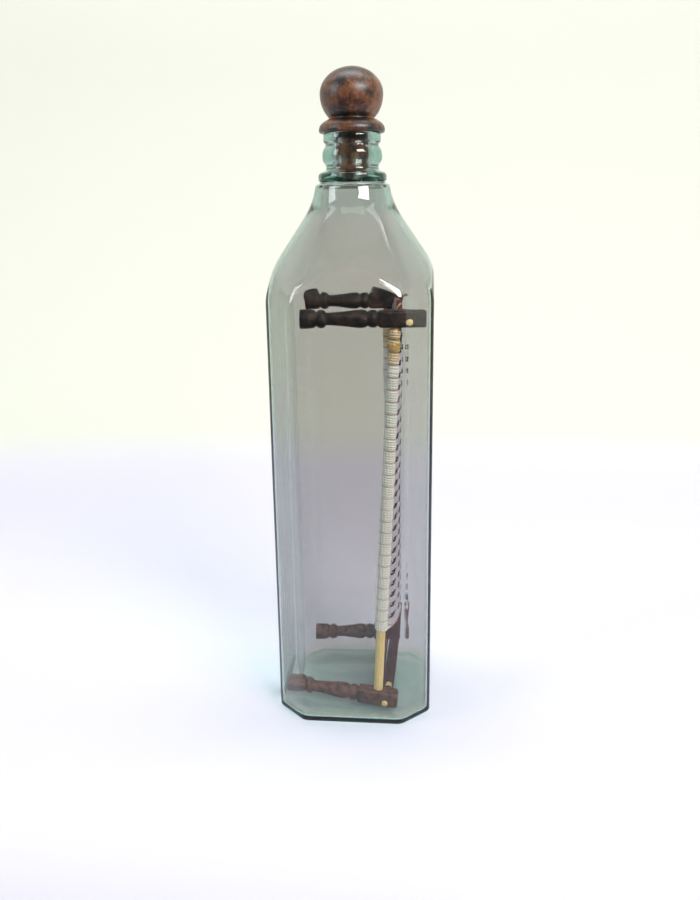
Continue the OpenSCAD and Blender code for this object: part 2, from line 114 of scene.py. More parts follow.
class Finish:
    """A material made of nodes round one Principled shader. A colour is a tuple of three."""

    def __init__(self, name):
        self.material = bpy.data.materials.new(name)
        self.material.use_nodes = True
        self.tree = self.material.node_tree
        self.tree.nodes.clear()
        self.output = self.tree.nodes.new("ShaderNodeOutputMaterial")
        self.shader = self.tree.nodes.new("ShaderNodeBsdfPrincipled")
        self.tree.links.new(self.shader.outputs[0], self.output.inputs["Surface"])

    def node(self, kind, settings=None, sockets=None, out=0):
        """A node of that kind: its settings made, its sockets set or linked. Gives the
        output named by out, or a list of them."""
        made = self.tree.nodes.new(kind)
        for name, value in (settings or {}).items():
            if name == "stops":
                stops = made.color_ramp.elements
                while len(stops) < len(value):
                    stops.new(0.5)
                for stop, (place, colour) in zip(stops, value):
                    stop.position, stop.color = place, (*colour, 1)
            else:
                setattr(made, name, value)
        for name, value in (sockets or {}).items():
            self.put(made, name, value)
        if isinstance(out, tuple):
            return [Socket(self, made.outputs[name]) for name in out]
        return Socket(self, made.outputs[out])

    def put(self, node, name, value):
        target = node.inputs[name]
        if isinstance(value, Socket):
            self.tree.links.new(value.out, target)
        elif isinstance(value, tuple) and target.type == "RGBA":
            target.default_value = (*value, 1)
        else:
            target.default_value = value

    def set(self, **sockets):
        """Sets or links the Principled shader's sockets; _ stands for a space in a name."""
        for name, value in sockets.items():
            self.put(self.shader, name.replace("_", " "), value)

    def place_mm(self, x=1.0, y=1.0, z=1.0):
        """Where a point of the surface is, in millimetres, each axis scaled."""
        place = self.node("ShaderNodeTexCoord", out="Object")
        return self.node("ShaderNodeVectorMath", {"operation": "MULTIPLY"},
            {0: place, 1: (x / MM, y / MM, z / MM)})

    def noise(self, place, scale, detail=4.0, rough=0.55, twist=0.0):
        return self.node("ShaderNodeTexNoise", {}, {"Vector": place, "Scale": scale,
            "Detail": detail, "Roughness": rough, "Distortion": twist})

    def mix(self, share, first, second):
        """A blend of two colours."""
        return self.node("ShaderNodeMix", {"data_type": "RGBA", "clamp_factor": True},
            {"Factor": share, 6: first, 7: second}, out=2)

    def ramp(self, value, *stops):
        return self.node("ShaderNodeValToRGB", {"stops": stops}, {"Fac": value})

    def bump(self, height, depth_mm, strength=1.0):
        """Relief whose height runs from 0 to depth_mm."""
        self.set(Normal=self.node("ShaderNodeBump", {}, {"Height": height,
            "Distance": depth_mm * MM, "Strength": strength}))


sweep_behind, sweep_ahead, sweep_rise, sweep_bend = 0.75, 1.7, 1.6, 0.45
floor_gap = 0.3 * MM
sweep_steps, bend_steps = 96, 16
bend = [a / bend_steps * math.pi / 2 for a in range(bend_steps + 1)]
outline = [(sweep_bend * math.sin(a) - sweep_bend, sweep_bend - sweep_bend * math.cos(a)) for a in bend]
outline.append((0.0, sweep_rise))
points, faces = [(0, 0, -floor_gap)], []
for k in range(sweep_steps):
    angle = 2 * math.pi * k / sweep_steps
    reach = sweep_behind + (sweep_ahead - sweep_behind) * (1 - math.sin(angle)) / 2
    points += [(math.cos(angle) * (reach + r), math.sin(angle) * (reach + r), z - floor_gap)
        for r, z in outline]
    here, there = (1 + n % sweep_steps * len(outline) for n in (k, k + 1))
    faces.append((0, here, there))
    faces += [(here + i, here + i + 1, there + i + 1, there + i) for i in range(len(outline) - 1)]
sweep = add_mesh("sweep", points, faces)
card = Finish("pale_card")
depth, height = card.node("ShaderNodeSeparateXYZ", {}, {0: card.place_mm()}, out=("Y", "Z"))
pale = card.mix(height.above(0, 34), (0.61, 0.60, 0.70), (0.64, 0.655, 0.585))
card.set(Base_Color=card.mix(depth.above(-330, -110), (0.15, 0.15, 0.155), pale),
    Roughness=0.9, Specular_IOR_Level=0.15)
sweep.data.materials.append(card.material)


def lamp(name, place, aim, width, height, power, colour=(1, 1, 1)):
    data = bpy.data.lights.new(name, "AREA")
    data.shape, data.size, data.size_y = "RECTANGLE", width, height
    data.energy, data.color = power, colour
    made = bpy.data.objects.new(name, data)
    made.location = place
    made.rotation_euler = (Vector(aim) - Vector(place)).to_track_quat("-Z", "Y").to_euler()
    bpy.context.scene.collection.objects.link(made)


middle = (0, 0, 0.15)
lamp("key", (0.62, -0.72, 0.80), middle, 0.55, 0.36, 14.5, (1.0, 0.98, 0.95))
lamp("fill", (-0.85, -0.45, 0.62), middle, 0.35, 0.6, 4.6, (0.93, 0.97, 1.0))
lamp("overhead", (0.0, 0.05, 1.30), middle, 0.7, 0.5, 4.2)
lamp("backdrop_glow", (0, 0.15, 1.25), (0, 0.75, 0.2), 1.6, 0.3, 8.0)
world = bpy.data.worlds.new("room")
world.use_nodes = True
world.node_tree.nodes["Background"].inputs["Color"].default_value = (0.93, 0.95, 1, 1)
world.node_tree.nodes["Background"].inputs["Strength"].default_value = 0.16
bpy.context.scene.world = world
bpy.context.scene.view_settings.view_transform = "Standard"


# ---------------------------------------------------------------------------
# The bottle: blown pale green glass, square with cut corners, a round sloping
# shoulder that meets each flat face in an arch, and a beaded neck. It is one
# closed skin, from the middle of the underside to the middle of the floor inside.
glass_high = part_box("bottle")[1]
half = glass_high.x
corner_cut = 14.1 * MM
corner_half = (2 * half - corner_cut) / math.sqrt(2)
wall, base_glass, heel_glass = 2.4 * MM, 3.6 * MM, 2.0 * MM
lip_z = glass_high.z
neck_z = lip_z - 22.4 * MM
cone_z = neck_z - 6.5 * MM
inner_top = lip_z - 18.4 * MM
neck_r, bore_r = 17.2 * MM, 9.3 * MM
slope = math.tan(math.radians(34.7))
columns = 256
outer_wave, inner_wave, push_up = 0.10 * MM, -0.14 * MM, 0.8 * MM


def rounded_least(a, b, reach):
    """The lesser of two radii, rounded where they differ by less than reach."""
    near = max(reach - abs(a - b), 0.0) / reach
    return min(a, b) - near * near * reach / 4


def smooth(t):
    """0 below 0, 1 above 1, and smooth between."""
    t = min(max(t, 0.0), 1.0)
    return t * t * (3 - 2 * t)


def skin_ring(z, inset, edge, arch, heel, floor_z, throat, share=1.0, wave=0.0):
    """One level of the skin that lies inset inside the bottle's outside: the eight flats
    and their rounded edges, the rounded heel, the cone of the shoulder and the throat,
    which opens below the bore. The wave is how uneven the glass is."""
    drop = max(0.0, heel - (z - floor_z))
    tuck = heel - math.sqrt(max(0.0, heel * heel - drop * drop))
    cone = neck_r + (cone_z - z) * slope - inset / math.cos(math.atan(slope))
    if inset:
        throat += (neck_r - inset - throat) * smooth((inner_top - z) / (7 * MM))
    cone = -rounded_least(-cone, -throat, 3 * MM if inset else 7 * MM)
    ring = []
    for i in range(columns):
        angle = 2 * math.pi * i / columns
        flats = sorted(((corner_half if k % 2 else half) - inset - tuck) / math.cos(angle - k * math.pi / 4)
            for k in range(9) if math.cos(angle - k * math.pi / 4) > 0.5)
        r = share * rounded_least(rounded_least(flats[0], flats[1], edge), max(cone, throat), arch)
        spot = Vector((math.cos(angle) * r * 26, math.sin(angle) * r * 26, z * 13 + inset * 900))
        r -= wave * (0.5 + 0.5 * noise.noise(spot))
        ring.append((math.cos(angle) * r, math.sin(angle) * r, z))
    return ring


def round_ring(z, r):
    return [(math.cos(2 * math.pi * i / columns) * r, math.sin(2 * math.pi * i / columns) * r, z)
        for i in range(columns)]


def lathe_points(corners, step):
    """Points along a smooth line through the corners, given as (radius, height)."""
    points = []
    for k in range(len(corners) - 1):
        before = corners[max(k - 1, 0)]
        a, b = corners[k], corners[k + 1]
        after = corners[min(k + 2, len(corners) - 1)]
        count = max(1, round(math.dist(a, b) / step))
        for i in range(count):
            t = i / count
            weights = (-t + 2 * t * t - t ** 3, 2 - 5 * t * t + 3 * t ** 3,
                t + 4 * t * t - 3 * t ** 3, t ** 3 - t * t)
            points.append(tuple(0.5 * sum(w * p[n] for w, p in zip(weights, (before, a, b, after)))
                for n in (0, 1)))
    return points + [corners[-1]]


outside = dict(inset=0.0, edge=1.8 * MM, arch=4 * MM, heel=2.6 * MM, floor_z=0.0, throat=neck_r - 0.1 * MM)
inside = dict(inset=wall, edge=1.6 * MM, arch=2 * MM, heel=2.6 * MM, floor_z=heel_glass, throat=bore_r)
rings = []
# Underside: a shallow push-up inside a flat bearing rim
for k in range(1, 8):
    lift = push_up * (1 - (k / 7) ** 3)
    rings.append([(x, y, lift) for x, y, z in skin_ring(0.0, **outside, share=0.86 * k / 7)])
rings.append(skin_ring(0.0, **outside, share=0.95))
for k in range(9):
    rings.append(skin_ring(outside["heel"] * (1 - math.cos(k / 8 * math.pi / 2)), **outside))
body_rows, shoulder_rows, shoulder_start = 30, 60, 0.186
for k in range(1, body_rows):
    z = outside["heel"] + (shoulder_start - outside["heel"]) * k / body_rows
    rings.append(skin_ring(z, **outside, wave=outer_wave * min(1, k / 4)))
outer_top = neck_z - 0.7 * MM
for k in range(shoulder_rows + 1):
    z = shoulder_start + (outer_top - shoulder_start) * k / shoulder_rows
    rings.append(skin_ring(z, **outside, wave=outer_wave * (1 - k / shoulder_rows)))
# Neck: transfer ring, waist, bead, waist and lip, then over the lip and down the bore
finish_mm = [(16.8, -22.8), (16.0, -22.3), (15.3, -22.0), (15.2, -21.6), (15.9, -21.0), (16.0, -19.6),
    (15.9, -18.3), (14.6, -17.2), (12.9, -16.6), (12.3, -15.6), (12.3, -14.4), (12.9, -13.4),
    (13.7, -12.2), (14.0, -10.3), (13.7, -8.0), (12.9, -6.4), (12.35, -5.6), (12.3, -5.0),
    (12.8, -4.4), (13.3, -3.6), (13.35, -1.6), (13.0, -0.5), (12.0, 0.0), (10.6, -0.05),
    (9.6, -0.6), (9.3, -2.0), (9.3, -8.0), (9.35, -13.0), (9.4, -17.6)]
for r, z in lathe_points([(r * MM, lip_z + z * MM) for r, z in finish_mm], 0.45 * MM):
    rings.append(round_ring(z, r))
for k in range(shoulder_rows):
    z = inner_top - (inner_top - shoulder_start) * k / shoulder_rows
    rings.append(skin_ring(z, **inside, wave=inner_wave * min(1, k / 30)))
for k in range(body_rows):
    z = shoulder_start - (shoulder_start - inside["floor_z"] - inside["heel"]) * k / body_rows
    rings.append(skin_ring(z, **inside, wave=inner_wave))
for k in range(1, 11):
    z = inside["floor_z"] + inside["heel"] * (1 - math.sin(k / 10 * math.pi / 2))
    rings.append(skin_ring(z, **inside, wave=inner_wave * (1 - k / 10)))
# The floor inside rises from the heel to the level that the cot stands on
for k in range(1, 16):
    share = 1 - k / 16
    rise = (base_glass - inside["floor_z"]) * smooth((1 - share) / 0.2)
    rings.append([(x, y, z + rise) for x, y, z in skin_ring(inside["floor_z"], **inside, share=share)])


def skin_of_rings(name, rings, first_tip, last_tip):
    """A closed skin over rings of points, with a point at each end."""
    count = len(rings[0])
    points = [first_tip] + [p for ring in rings for p in ring] + [last_tip]
    faces = [(0, 1 + (i + 1) % count, 1 + i) for i in range(count)]
    for k in range(len(rings) - 1):
        a, b = 1 + k * count, 1 + (k + 1) * count
        faces += [(a + i, a + (i + 1) % count, b + (i + 1) % count, b + i) for i in range(count)]
    last, tip = 1 + (len(rings) - 1) * count, len(points) - 1
    faces += [(last + i, last + (i + 1) % count, tip) for i in range(count)]
    return add_mesh(name, points, faces)


bottle = skin_of_rings("glass_bottle", rings, (0, 0, push_up), (0, 0, base_glass))
glass = Finish("bottle_glass")
seeds = glass.node("ShaderNodeTexVoronoi", {}, {"Vector": glass.place_mm(), "Scale": 0.075}, out="Distance")
level = glass.node("ShaderNodeSeparateXYZ", {}, {0: glass.place_mm()}, out=("Z",))[0]
clear = glass.mix(level.above(4, 10), (0.87, 0.72, 0.66), (0.83, 0.72, 0.73))
glass.set(Base_Color=glass.mix(seeds.above(0.012, 0.03), (0.25, 0.22, 0.16), clear),
    Transmission_Weight=1.0, IOR=1.5, Specular_IOR_Level=0.16,
    Roughness=glass.noise(glass.place_mm(), 0.05).above(0.55, 0.8) * 0.02)
glass.bump(glass.noise(glass.place_mm(z=0.3), 0.11, detail=2.0), 0.12, 0.5)
see_through = glass.node("ShaderNodeBsdfTransparent", {}, {"Color": (0.97, 0.96, 0.97)})
surface = glass.node("ShaderNodeMixShader", {}, {0: glass.node("ShaderNodeLightPath", out="Is Shadow Ray"),
    1: Socket(glass, glass.shader.outputs[0]), 2: see_through})
tint = glass.node("ShaderNodeVolumeAbsorption", {}, {"Color": (0.10, 0.62, 0.53), "Density": 105.0})
glass.tree.links.new(surface.out, glass.output.inputs["Surface"])
glass.tree.links.new(tint.out, glass.output.inputs["Volume"])
bottle.data.materials.append(glass.material)
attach(bottle, "bottle")
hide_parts("bottle")


# ---------------------------------------------------------------------------
# The stopper: a ball, a groove, a flange and a loose plug, turned from one
# piece of wood, then scorched and waxed. The flange rests on the lip.
stopper_low, stopper_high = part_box("stopper")
ball_r, groove_r = 14.6 * MM, 10.2 * MM
flange_top = lip_z + 6.2 * MM
ball_z = flange_top + math.sqrt(ball_r ** 2 - groove_r ** 2)
groove_angle = -math.acos(groove_r / ball_r)
plug_mm = [(6.4, -22.0), (7.2, -21.6), (7.5, -20.6), (7.55, -16), (7.6, -10), (7.55, -4), (7.5, -0.1)]
flange_mm = [(7.6, 0.02), (12.5, 0.02), (14.6, 0.05), (15.15, 0.5), (15.3, 1.3), (15.15, 2.3), (14.7, 3.3),
    (13.9, 4.2), (12.8, 5.0), (11.5, 5.7), (10.6, 6.1), (10.15, 6.2)]
outline = lathe_points([(r * MM, lip_z + z * MM) for r, z in plug_mm], 0.5 * MM)
outline += lathe_points([(r * MM, lip_z + z * MM) for r, z in flange_mm], 0.4 * MM)
ball_steps = 40
for k in range(1, ball_steps):
    angle = groove_angle + (math.pi / 2 - groove_angle) * k / ball_steps
    up = 1.0 if angle < 0 else (stopper_high.z - ball_z) / ball_r
    outline.append((ball_r * math.cos(angle), ball_z + ball_r * math.sin(angle) * up))


def turned_ring(r, z, count=96, dent=0.05 * MM):
    """A ring of a turned piece, a little out of true."""
    ring = []
    for i in range(count):
        angle = 2 * math.pi * i / count
        spot = Vector((math.cos(angle) * r, math.sin(angle) * r, z))
        reach = r - dent * (0.5 + 0.5 * noise.noise(spot * 220)) * min(1, r / (4 * MM))
        ring.append((math.cos(angle) * reach, math.sin(angle) * reach, z))
    return ring


stopper = skin_of_rings("ball_stopper", [turned_ring(r, z) for r, z in outline],
    (0, 0, stopper_low.z), (0, 0, stopper_high.z))


def scorched_wood(name, colours, scorched, grain=(1, 1, 0.25), bump_mm=0.12, rough=(0.32, 0.55),
        blotch=0.16, shine=0.25):
    """Wood grain along one axis, blotched towards black where it was scorched or stained.
    The colours are light grain, middle grain, dark fibres and scorch."""
    light, middle_grain, dark, char = colours
    wood = Finish(name)
    fibres = wood.noise(wood.place_mm(*grain), 1.6, detail=6.0, rough=0.7)
    veins = wood.noise(wood.place_mm(*grain), 0.55, detail=3.0, twist=1.2)
    blotches = wood.noise(wood.place_mm(), blotch, detail=5.0, rough=0.6)
    specks = wood.noise(wood.place_mm(), 0.9, detail=3.0)
    colour = wood.mix(veins.above(0.35, 0.65), middle_grain, light)
    colour = wood.mix(fibres.above(0.5, 0.72) * 0.6, colour, dark)
    colour = wood.mix((blotches + specks * 0.25).above(*scorched), colour, char)
    wood.set(Base_Color=colour, Roughness=fibres * (rough[1] - rough[0]) + rough[0],
        Specular_IOR_Level=shine)
    wood.bump(fibres * 0.6 + blotches * 0.4, bump_mm)
    return wood


stopper_wood = scorched_wood("scorched_stopper_wood", ((0.20, 0.075, 0.026), (0.115, 0.036, 0.014),
    (0.030, 0.009, 0.005), (0.006, 0.003, 0.002)), (0.50, 0.74), grain=(1, 1, 0.6), rough=(0.28, 0.5),
    blotch=0.12, shine=0.5)
stopper_wood.set(Coat_Weight=0.2, Coat_Roughness=0.35)
stopper.data.materials.append(stopper_wood.material)
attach(stopper, "stopper")
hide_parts("stopper")


# ---------------------------------------------------------------------------
# The four legs: turned hardwood with a foot, two rings and a vase, and a square
# head block that the rails are tenoned into. The two head legs are stained
# nearly black; the two foot legs are brown and roughly finished.
def ends_of(node, axis, depth):
    """Middles of a long CAD node's two end faces, the lower along that axis first."""
    points = [v.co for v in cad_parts[node].data.vertices]
    low = min(p[axis] for p in points)
    high = max(p[axis] for p in points)
    at_low = [p for p in points if p[axis] < low + depth]
    at_high = [p for p in points if p[axis] > high - depth]
    middle = []
    for group in (at_low, at_high):
        middle.append(Vector([(min(p[n] for p in group) + max(p[n] for p in group)) / 2 for n in range(3)]))
    middle[0][axis], middle[1][axis] = low, high
    return middle


def sweep_rings(path_start, path_end, sections, count, up=Vector((0, 0, 1)), shape=None):
    """Rings along a straight line; each section is (distance, radius, squareness)."""
    along = (path_end - path_start).normalized()
    side = along.cross(up).normalized()
    top = side.cross(along)
    rings = []
    for distance, radius, square in sections:
        centre = path_start + along * distance
        ring = []
        for i in range(count):
            angle = 2 * math.pi * i / count
            c, s = math.cos(angle), math.sin(angle)
            power = 2 + square * 8
            reach = radius / (abs(c) ** power + abs(s) ** power) ** (1 / power)
            spot = centre + side * (c * reach) + top * (s * reach)
            if shape:
                spot = shape(spot, centre, distance, angle)
            ring.append(spot)
        rings.append(ring)
    return rings


foot_mm, ring_mm, groove_mm = 7.6, 4.6, 3.3


def leg_outline(length_mm, block_mm):
    """(radius, distance, squareness) in millimetres from the foot end, as on every leg."""
    block = length_mm - block_mm
    upper = block - ring_mm
    vase = foot_mm + ring_mm
    run = upper - vase
    turned = [(3.9, 0.0), (4.35, 0.35), (4.45, 1.2), (4.42, 3.6), (4.3, 5.4), (3.95, 6.8), (groove_mm, 7.5),
        (groove_mm, 7.8), (3.9, 8.5), (4.25, 9.5), (4.2, 10.6), (3.7, 11.6), (2.95, vase),
        (3.0, vase + 0.16 * run), (3.35, vase + 0.38 * run), (3.8, vase + 0.58 * run),
        (4.2, vase + 0.76 * run), (4.22, vase + 0.86 * run), (3.9, vase + 0.95 * run),
        (groove_mm, upper), (3.7, upper + 0.6), (4.15, upper + 1.6), (4.2, upper + 2.6), (3.9, upper + 3.7),
        (groove_mm, block - 0.2), (groove_mm + 0.1, block)]
    square = [(3.55, block + 0.4), (3.8, block + 1.1), (3.85, block + 3), (3.85, block + block_mm * 0.5),
        (3.85, length_mm - 2.2), (3.8, length_mm - 0.9), (3.4, length_mm - 0.15)]
    points = lathe_points(turned, 0.55) + lathe_points(square, 0.8)
    return [(distance, radius, 1.0 if distance > block + 0.3 else 0.0) for radius, distance in points]


def make_leg(node, block_mm, seed, finish, rough_cut):
    start, end = ends_of(node, 0, 1.5 * MM)
    length = (end - start).length
    along = (end - start).normalized()
    sections = [(d * MM, r * MM, q) for d, r, q in leg_outline(length / MM, block_mm)]

    def carved(spot, centre, distance, angle):
        out = spot - centre
        chip = noise.noise(spot * 380 + Vector((seed, 0, 0)))
        facet = noise.noise(Vector((seed + 3 * math.cos(angle), 3 * math.sin(angle), distance * 160)))
        return centre + out * (1 - rough_cut * (0.022 * abs(chip) + 0.028 * max(0, facet)))

    rings = sweep_rings(start, end, sections, 56, shape=carved)
    leg = skin_of_rings("turned_" + node, rings, start + along * 0.25 * MM, end - along * 0.1 * MM)
    leg.data.materials.append(finish.material)
    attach(leg, "cot")
    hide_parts(node)
    return leg


head_wood = scorched_wood("stained_leg_wood", ((0.045, 0.018, 0.011), (0.022, 0.010, 0.007),
    (0.010, 0.005, 0.004), (0.004, 0.0025, 0.002)), (0.52, 0.72), grain=(0.3, 1, 1), bump_mm=0.22,
    rough=(0.38, 0.66), blotch=0.3)
foot_wood = scorched_wood("rough_leg_wood", ((0.15, 0.052, 0.030), (0.085, 0.030, 0.018),
    (0.024, 0.010, 0.007), (0.012, 0.007, 0.005)), (0.58, 0.80), grain=(0.3, 1, 1), bump_mm=0.5,
    rough=(0.45, 0.8), blotch=0.35)
for node, block_mm, seed, finish, slot, rough_cut in (
        ("leg_head_near", 21.4, 3.1, head_wood, "dark_wood", 1.0),
        ("leg_head_far", 19.4, 7.7, head_wood, "dark_wood", 1.0),
        ("leg_foot_near", 21.4, 12.9, foot_wood, "brown_wood", 2.6),
        ("leg_foot_far", 19.4, 21.3, foot_wood, "brown_wood", 2.6)):
    make_leg(node, block_mm, seed, finish, rough_cut)


# ---------------------------------------------------------------------------
# The rails: slim rods of pale wood, whittled to a tenon at each end. The cross
# rails' tenons go right through the near legs and show there as pale discs.
side_rail_mm, cross_rail_mm = 2.35, 1.9
# The offset of noise_vector, which bends the rails, follows the clock unless it is seeded
noise.seed_set(17)


def make_rod(node, axis, radius_mm, tenon_mm, shoulder_mm, seed):
    start, end = ends_of(node, axis, 0.4 * MM)
    length = (end - start).length / MM
    full = shoulder_mm + 0.6
    profile = [(tenon_mm * 0.8, 0.0), (tenon_mm, 0.2), (tenon_mm, shoulder_mm - 0.5),
        (radius_mm * 0.97, shoulder_mm), (radius_mm, full)]
    middle = [(radius_mm, full + k * (length - 2 * full) / 40) for k in range(1, 40)]
    mirrored = [(r, length - d) for r, d in reversed(profile)]
    sections = [(d * MM, r * MM, 0.0) for r, d in profile + middle + mirrored]
    side = Vector((0, 1, 0)) if axis == 2 else Vector((0, 0, 1))

    def whittled(spot, centre, distance, angle):
        bent = noise.noise_vector(Vector((seed, distance * 16, 0))) * 0.18 * MM
        flat = 0.03 * noise.noise(Vector((seed + 2 * math.cos(angle), 2 * math.sin(angle), distance * 60)))
        return centre + (spot - centre) * (0.985 + flat) + bent

    rings = sweep_rings(start, end, sections, 28, up=side, shape=whittled)
    rod = skin_of_rings("rod_" + node, rings, start, end)
    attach(rod, "cot")
    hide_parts(node)
    return rod


def pale_wood(name, grain):
    wood = Finish(name)
    fibres = wood.noise(wood.place_mm(*grain), 2.2, detail=5.0, rough=0.65)
    stains = wood.noise(wood.place_mm(), 0.12, detail=3.0)
    colour = wood.ramp(fibres, (0.25, (0.50, 0.30, 0.095)), (0.5, (0.72, 0.50, 0.20)),
        (0.75, (0.82, 0.64, 0.32)))
    colour = wood.mix(stains.above(0.5, 0.75) * 0.5, colour, (0.60, 0.30, 0.10))
    wood.set(Base_Color=colour, Roughness=fibres * 0.25 + 0.42, Specular_IOR_Level=0.4)
    wood.bump(fibres, 0.1)
    return wood


side_wood = pale_wood("pale_side_rail_wood", (1, 1, 0.08))
cross_wood = pale_wood("pale_cross_rail_wood", (1, 0.08, 1))
for node, seed in (("side_rail_near", 1.5), ("side_rail_far", 4.5)):
    make_rod(node, 2, side_rail_mm, 1.4, 5.6, seed).data.materials.append(side_wood.material)
for node, seed in (("head_rail", 8.5), ("foot_rail", 11.5)):
    make_rod(node, 1, cross_rail_mm, 1.55, 7.2, seed).data.materials.append(cross_wood.material)


# ---------------------------------------------------------------------------
# The wrap on each side rail: cream silky cord of two plies, wound closely from
# below the head leg to the lower edge of the weave. A golden-brown cord takes
# one turn in each row, and golden thread binds the wrap near the head.
class Cords:
    """Many lengths of cord in one mesh. Each point keeps its place on its cord: how far
    along in millimetres, how far round from 0 to 1, and a shade that the length has."""

    def __init__(self, sides, seed):
        self.sides, self.random, self.strips = sides, random.Random(seed), 0
        self.points, self.faces, self.places, self.map = [], [], [], []

    def lay(self, path, radius, away=Vector((1, 0, 0)), flat=1.0, strip=10 ** 6, shade=None):
        """A cord along the path, squeezed by flat towards away, which may be a function of
        the point. A strip of the map holds that many steps."""
        n, last, base = self.sides, len(path) - 1, len(self.points)
        shade = self.random.random() if shade is None else shade
        run, row = 0.0, self.strips
        for k, spot in enumerate(path):
            ahead = (path[min(k + 1, last)] - path[max(k - 1, 0)]).normalized()
            out = away(spot) if callable(away) else away
            side = ahead.cross(out).normalized()
            out = side.cross(ahead)
            run += (spot - path[k - 1]).length if k else 0
            size = radius * (0.6 if k in (0, last) else 1)
            for i in range(n):
                angle = 2 * math.pi * i / n
                self.points.append(spot + side * (math.cos(angle) * size)
                    + out * (math.sin(angle) * size * flat))
                self.places.append((run / MM, i / n, shade))
        span = min(strip, last)
        for k in range(last):
            a, u, v = base + k * n, k % span / span * 0.96, row + k // span
            for i in range(n):
                self.faces.append((a + i, a + n + i, a + n + (i + 1) % n, a + (i + 1) % n))
                low, high = v + 0.05 + 0.9 * i / n, v + 0.05 + 0.9 * (i + 1) / n
                self.map.append(((u, low), (u + 0.96 / span, low), (u + 0.96 / span, high), (u, high)))
        for k, u in ((0, 0.97), (last, 0.99)):
            self.faces.append([base + k * n + (i if k else n - 1 - i) for i in range(n)])
            turns = [2 * math.pi * i / n for i in range(n)]
            self.map.append([(u + 0.008 * math.cos(a), row + 0.5 + 0.4 * math.sin(a)) for a in turns])
        self.strips = row + (last - 1) // span + 1

    def finished(self, name, finish, slot, *nodes):
        """The piece, riding with the cot in place of the nodes."""
        piece = add_mesh(name, self.points, self.faces)
        place = piece.data.attributes.new("cord_place", "FLOAT_VECTOR", "POINT")
        place.data.foreach_set("vector", [c for p in self.places for c in p])
        corners = [(u, v / self.strips) for face in self.map for u, v in face]
        piece.data.uv_layers.new(name="OFBake").data.foreach_set("uv", [c for p in corners for c in p])
        piece.data.materials.append(finish.material)
        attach(piece, "cot")
        if nodes:
            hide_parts(*nodes)
        return piece


def silky_cord(name, light, dark, groove_painted_shade, ply_mm=1.1, rough=0.38, bump_mm=0.14, sheen=0.3,
        soil=None, soiled=(0.5, 0.7), dyed=None, dyed_above=0.0, shine=0.5):
    """Cord of two plies that show as slanting ridges, with painted shade in the grooves between them,
    fine fibres, a shade of its own on each length and, if given, soil in patches and a dye above a height."""
    cord = Finish(name)
    place = cord.node("ShaderNodeAttribute", {"attribute_name": "cord_place"}, out="Vector")
    run, turn, shade = cord.node("ShaderNodeSeparateXYZ", {}, {0: place}, out=("X", "Y", "Z"))
    ply = (run * (1 / ply_mm) + turn * 2).wave()
    fibres = cord.noise(cord.place_mm(), 4.5, detail=3.0, rough=0.7)
    colour = cord.mix(shade * 0.6 + fibres * 0.4, dark, light)
    if soil:
        patches = cord.noise(cord.place_mm(), 0.08, detail=4.0)
        colour = cord.mix(patches.above(*soiled) * 0.75, colour, soil)
    if dyed:
        height = cord.node("ShaderNodeSeparateXYZ", {}, {0: cord.place_mm()}, out=("Z",))[0]
        colour = cord.mix(height.above(dyed_above / MM - 3, dyed_above / MM + 3) * 0.8, colour, dyed)
    # Painted shade: the grooves between the plies are darkened in the colour, on top of the bump's relief.
    colour = cord.mix((1 - ply).above(0.4, 0.95) * 0.75, colour, groove_painted_shade)
    cord.set(Base_Color=colour, Roughness=fibres * 0.25 + rough, Specular_IOR_Level=shine,
        Sheen_Weight=sheen, Sheen_Roughness=0.35)
    cord.bump(ply * 0.75 + fibres * 0.25, bump_mm)
    return cord


def on_line(ends, axis, place):
    """The point of a rail's axis at that place along X, Y or Z."""
    start, end = ends
    return start + (end - start) * ((place - start[axis]) / (end[axis] - start[axis]))


def coil(ends, start, end, radius, pitch, steps=16, dip=None, wobble=0.0, seed=0):
    """A winding round the line between two ends, from one distance along it to another."""
    along = (ends[1] - ends[0]).normalized()
    side = along.cross(Vector((1, 0, 0)) if abs(along.x) < 0.7 else Vector((0, 0, 1))).normalized()
    top = side.cross(along)
    path = []
    for k in range(round((end - start) / pitch * steps) + 1):
        turn = k / steps
        place = start + turn * pitch
        reach = radius - (dip(turn) if dip else 0) + wobble * noise.noise(Vector((seed, turn * 1.7, 0)))
        place += wobble * noise.noise(Vector((seed + 5, turn * 0.9, 0)))
        angle = 2 * math.pi * turn
        path.append(ends[0] + along * place + side * (math.cos(angle) * reach)
            + top * (math.sin(angle) * reach))
    return path


def off_line(ends):
    """Straight out from the line between two ends."""
    along = (ends[1] - ends[0]).normalized()
    return lambda spot: (spot - ends[0]) - along * (spot - ends[0]).dot(along)


rail_ends = {side: ends_of("side_rail_" + side, 2, 0.4 * MM) for side in ("near", "far")}
rail_r, turn_pitch = side_rail_mm * MM, 1.18 * MM
turns_in_row, brown_turn = 5, 4.5
cream = silky_cord("cream_cord", (0.93, 0.90, 0.88), (0.74, 0.68, 0.60), (0.36, 0.27, 0.18), ply_mm=1.3,
    rough=0.26, soil=(0.62, 0.46, 0.25), soiled=(0.58, 0.8), bump_mm=0.2, dyed=(0.72, 0.46, 0.20),
    dyed_above=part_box("rail_wrap_near")[1].z - 15 * MM)
row_brown = silky_cord("golden_brown_cord", (0.42, 0.23, 0.06), (0.24, 0.12, 0.035), (0.09, 0.045, 0.02),
    ply_mm=0.9)
gold = silky_cord("golden_thread", (0.66, 0.40, 0.10), (0.46, 0.25, 0.06), (0.20, 0.10, 0.03),
    ply_mm=0.7, rough=0.3)
